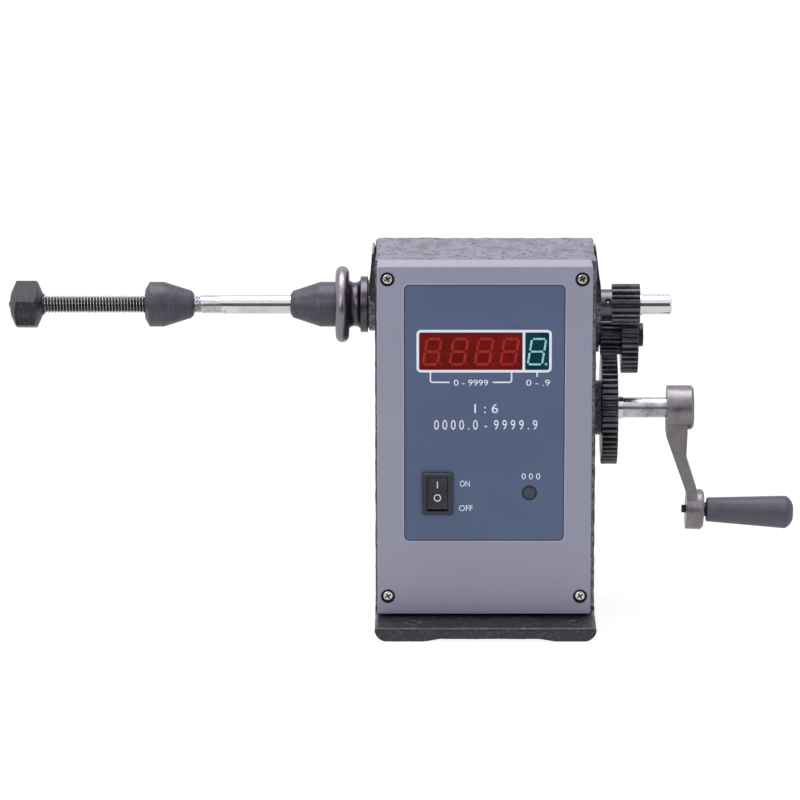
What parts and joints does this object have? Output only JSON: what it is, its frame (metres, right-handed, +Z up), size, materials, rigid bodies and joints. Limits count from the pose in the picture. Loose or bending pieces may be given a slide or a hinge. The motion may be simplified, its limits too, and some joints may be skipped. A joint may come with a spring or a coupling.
{
  "type": "coil winding machine",
  "caption": "Hand-cranked bench coil winder with a geared-up threaded spindle, two clamping cones, a dog-leg crank and an electronic turn counter on its front.",
  "frame": {"origin": "on the bench under the casting, straight below the winding spindle and at the middle of the casting's length", "axes": "+X along the spindle towards the crank, -Y out of the front panel, +Z up"},
  "size_m": [0.3871, 0.124, 0.182],
  "materials": {
    "black_casting": "glossy black enamel over rough iron casting",
    "gray_cover": "satin gray moulding",
    "blue_overlay": "printed slate-blue sheet with white lines",
    "zinc_screws": "zinc plated",
    "red_display": "tinted display face",
    "green_display": "tinted display face",
    "board_green": "solder-masked laminate",
    "component_black": "moulded",
    "switch_black": "satin black moulding",
    "terminal_brass": "plain",
    "core_steel": "varnished stack",
    "coil_tape": "taped coil",
    "plate_steel": "plated",
    "bronze_bush": "oiled sintered bronze",
    "bright_steel": "ground bright",
    "black_steel": "black oxide, oiled",
    "cone_rubber": "hard black moulding",
    "knob_black": "black moulding",
    "arm_gray": "gray cast, lightly polished",
    "grip_black": "satin black moulding",
    "grommet_rubber": "soft"
  },
  "bodies": {
    "frame": {"frame_casting": "black_casting", "front_cover": "gray_cover", "panel_overlay": "blue_overlay", "cover_cups": "component_black", "cover_screws": "zinc_screws", "count_display": "red_display", "decimal_display": "green_display", "circuit_board": "board_green", "board_standoffs": "zinc_screws", "board_screws": "zinc_screws", "board_components": "component_black", "switch_housing": "switch_black", "switch_terminals": "terminal_brass", "reset_switch_body": "component_black", "transformer_core": "core_steel", "transformer_coil": "coil_tape", "transformer_strap": "plate_steel", "transformer_screws": "zinc_screws", "sensor_bracket": "plate_steel", "sensor_screws": "zinc_screws", "photo_interrupter": "component_black", "left_spindle_bush": "bronze_bush", "right_spindle_bush": "bronze_bush", "left_crank_bush": "bronze_bush", "right_crank_bush": "bronze_bush", "idler_stud": "black_steel", "idler_washer": "black_steel", "cable_grommet": "grommet_rubber"},
    "spindle": {"spindle": "bright_steel", "fixed_cone": "cone_rubber", "drive_pulley": "black_steel", "thrust_washer": "black_steel", "spindle_pinion": "black_steel", "slotted_disc": "plate_steel", "disc_hub": "plate_steel", "spindle_set_screws": "black_steel"},
    "loose_cone": {"loose_cone": "cone_rubber"},
    "knob_washer": {"knob_washer": "black_steel"},
    "knob": {"clamp_knob": "knob_black", "knob_insert": "terminal_brass"},
    "idler": {"idler_gear_large": "black_steel", "idler_gear_small": "black_steel", "idler_bush": "bronze_bush"},
    "crank": {"crank_shaft": "bright_steel", "crank_gear": "black_steel", "crank_spacer": "bright_steel", "crank_ring": "bright_steel", "crank_arm": "arm_gray", "crank_set_screw": "black_steel", "handle_bolt": "black_steel"},
    "handle": {"handle_grip": "grip_black", "grip_end_cap": "grip_black"},
    "rocker": {"power_rocker": "switch_black"},
    "reset": {"reset_button": "switch_black"}
  },
  "joints": [
    {"name": "crank_turn", "type": "hinge", "parent": "frame", "child": "crank", "pos_m": [0, 0.0105, 0.09903], "axis": [1, 0, 0], "continuous": true},
    {"name": "idler_turn", "type": "hinge", "parent": "frame", "child": "idler", "pos_m": [0, 0.0185, 0.13413], "axis": [1, 0, 0], "continuous": true},
    {"name": "spindle_turn", "type": "hinge", "parent": "frame", "child": "spindle", "pos_m": [0, 0, 0.1538], "axis": [1, 0, 0], "continuous": true},
    {"name": "handle_spin", "type": "hinge", "parent": "crank", "child": "handle", "pos_m": [0.10035, 0.0105, 0.047], "axis": [0.9994, 0, -0.0349], "continuous": true},
    {"name": "loose_cone_slide", "type": "slide", "parent": "spindle", "child": "loose_cone", "axis": [1, 0, 0], "range_m": [-0.049, 0.046]},
    {"name": "knob_travel", "type": "slide", "parent": "spindle", "child": "knob_washer", "axis": [1, 0, 0], "range_m": [-0.009, 0.04875]},
    {"name": "knob_turn", "type": "hinge", "parent": "knob_washer", "child": "knob", "pos_m": [-0.225, 0, 0.1538], "axis": [1, 0, 0], "continuous": true},
    {"name": "rocker_tilt", "type": "hinge", "parent": "frame", "child": "rocker", "pos_m": [-0.0234, -0.041, 0.0691], "axis": [1, 0, 0], "range_deg": [0, 16]},
    {"name": "reset_press", "type": "slide", "parent": "frame", "child": "reset", "axis": [0, 1, 0], "range_m": [0, 0.0015], "stiffness_N_per_m": 150, "springref_m": -0.002}
  ],
  "couplings": [
    {"joint": "idler_turn", "follows": "crank_turn", "ratio": -3},
    {"joint": "spindle_turn", "follows": "crank_turn", "ratio": 6}
  ]
}
